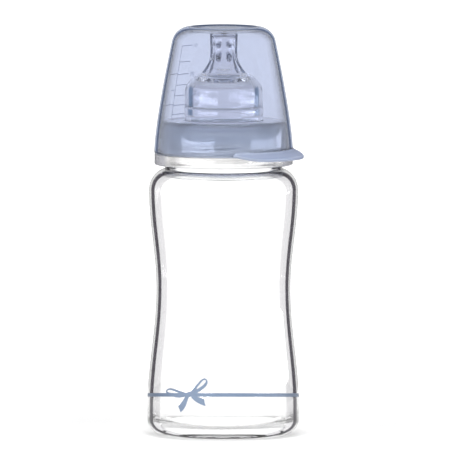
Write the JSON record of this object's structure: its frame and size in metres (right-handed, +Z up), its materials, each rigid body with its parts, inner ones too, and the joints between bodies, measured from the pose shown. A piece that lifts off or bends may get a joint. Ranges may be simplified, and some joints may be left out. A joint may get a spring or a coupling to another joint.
{
  "type": "baby bottle",
  "caption": "Waisted clear glass baby bottle with a wide neck, silicone teat, screw ring and see-through hood with a pull tab.",
  "frame": {"origin": "centre of the foot, on the surface that the bottle stands on", "axes": "+Z up the bottle's axis to the teat; -Y is the front, with the bow; the hood's tab points to +X and -Y"},
  "size_m": [0.0695, 0.0676, 0.1815],
  "materials": {
    "glass": "clear, polished",
    "silicone": "clear, smooth silicone",
    "ring_plastic": "clear, moulded, glossy",
    "hood_plastic": "see-through periwinkle blue, glossy",
    "print": "fired enamel print, dusty blue"
  },
  "bodies": {
    "glass_bottle": {"glass_bottle": "glass"},
    "teat": {"teat": "silicone"},
    "screw_ring": {"screw_ring": "ring_plastic"},
    "hood": {"hood": "hood_plastic"}
  },
  "joints": [
    {"name": "ring_lift", "type": "slide", "parent": "glass_bottle", "child": "teat", "axis": [0, 0, 1], "range_m": [0, 0.00701]},
    {"name": "ring_turn", "type": "hinge", "parent": "teat", "child": "screw_ring", "pos_m": [0, 0, 0.13], "axis": [0, 0, 1], "range_deg": [0, 280]},
    {"name": "hood_pull", "type": "slide", "parent": "screw_ring", "child": "hood", "axis": [0, 0, 1], "range_m": [0, 0.06]}
  ],
  "couplings": [
    {"joint": "ring_lift", "follows": "ring_turn", "m_per_rad": 0.0014324}
  ]
}
